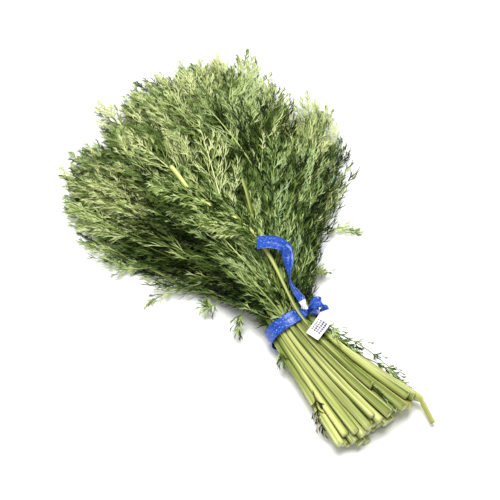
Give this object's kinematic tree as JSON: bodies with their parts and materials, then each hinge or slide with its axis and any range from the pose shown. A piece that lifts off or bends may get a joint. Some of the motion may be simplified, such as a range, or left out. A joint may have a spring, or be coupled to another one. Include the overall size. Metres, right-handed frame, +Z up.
{
  "type": "bunch of dill",
  "caption": "Bunch of fresh dill lying down: long stems held by a wired ribbon, opening into a wide fan of feathery leaves.",
  "frame": {"origin": "on the surface the bunch lies on, under the middle of its outline", "axes": "+Y along the bunch from the cut ends to the leaf tips, +Z up, +X to the right when the tips point away"},
  "size_m": [0.2458, 0.4176, 0.0698],
  "materials": {
    "dill_sprig": "feathery green leaves on a pale green ribbed stem, slightly waxy",
    "dill_stem": "smooth, faintly ribbed pale green stem with a paler cut end",
    "ribbon": "satin printed film in blue with white ends"
  },
  "bodies": {
    "root": {"sprig_01": "dill_sprig", "sprig_02": "dill_sprig", "sprig_03": "dill_sprig", "sprig_04": "dill_sprig", "sprig_05": "dill_sprig", "sprig_06": "dill_sprig", "sprig_07": "dill_sprig", "sprig_08": "dill_sprig", "sprig_09": "dill_sprig", "sprig_10": "dill_sprig", "sprig_11": "dill_sprig", "sprig_12": "dill_sprig", "sprig_13": "dill_sprig", "sprig_14": "dill_sprig", "sprig_15": "dill_sprig", "sprig_16": "dill_sprig", "sprig_17": "dill_sprig", "sprig_18": "dill_sprig", "sprig_19": "dill_sprig", "sprig_20": "dill_sprig", "sprig_21": "dill_sprig", "sprig_22": "dill_sprig", "sprig_23": "dill_sprig", "sprig_24": "dill_sprig", "sprig_25": "dill_sprig", "sprig_26": "dill_sprig", "sprig_27": "dill_sprig", "sprig_28": "dill_sprig", "sprig_29": "dill_sprig", "sprig_30": "dill_sprig", "sprig_31": "dill_sprig", "sprig_32": "dill_sprig", "sprig_33": "dill_sprig", "sprig_34": "dill_sprig", "sprig_35": "dill_sprig", "sprig_36": "dill_sprig", "sprig_37": "dill_sprig", "sprig_38": "dill_sprig", "topless_stem": "dill_stem", "sprig_39": "dill_sprig", "sprig_over_tie": "dill_sprig", "tie_ribbon": "ribbon"}
  },
  "joints": []
}
